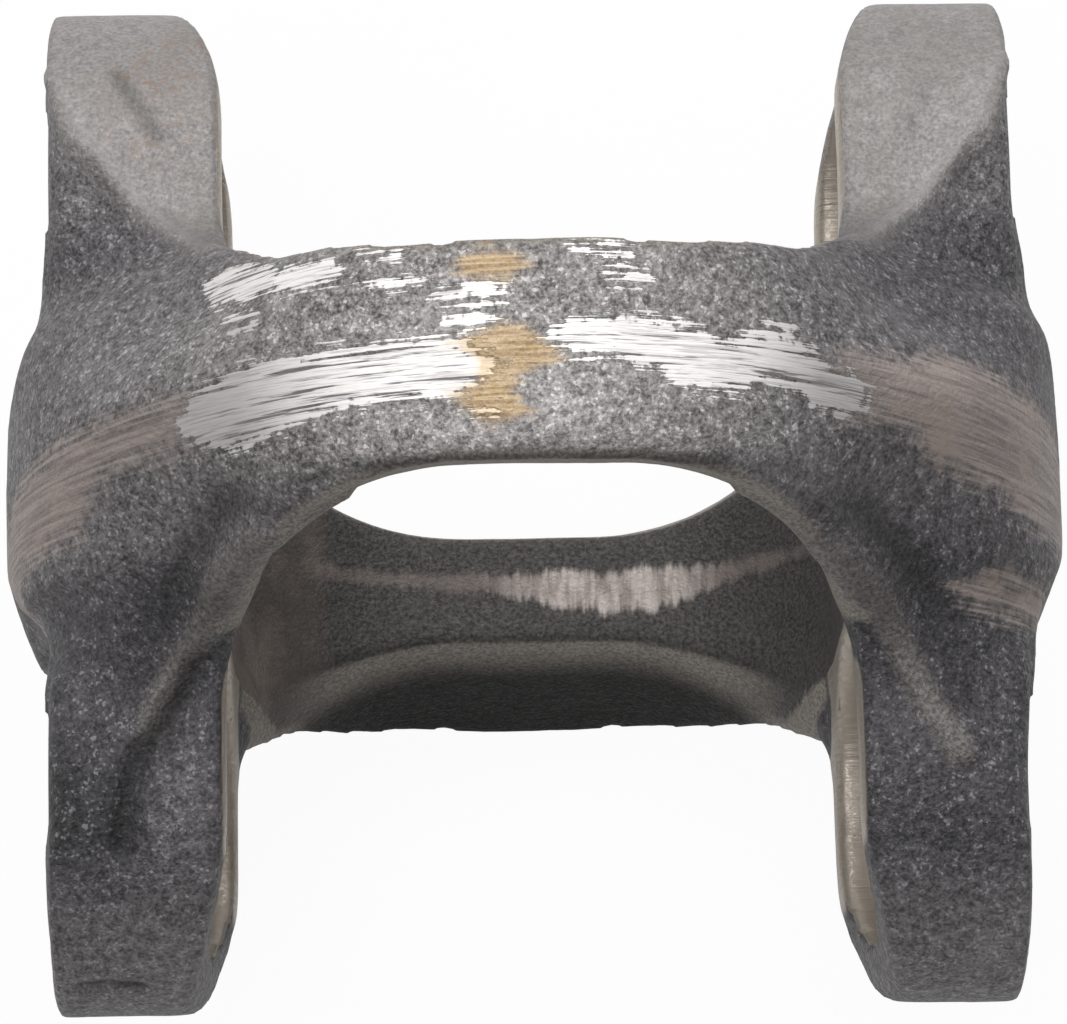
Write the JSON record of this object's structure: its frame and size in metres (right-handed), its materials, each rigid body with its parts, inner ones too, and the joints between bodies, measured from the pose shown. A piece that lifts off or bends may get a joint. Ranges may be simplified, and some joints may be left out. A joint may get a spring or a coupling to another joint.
{
  "type": "forged centre yoke",
  "caption": "One-piece forged steel ring with bored ears on both sides: the middle yoke of a double universal joint, its bores taking press-in bearing caps.",
  "frame": {"origin": "centre of the ring, which is also the centre of the part's box", "axes": "+X along the eyes' bores, +Y along the shafts through the ring, +Z square to both, up as the part lies on its ring"},
  "size_m": [0.094, 0.0914, 0.0946],
  "materials": {
    "forged_steel": "dark forging scale, with the parting line ground bright and the bores machined"
  },
  "bodies": {
    "root": {"centre_yoke": "forged_steel"}
  },
  "joints": []
}
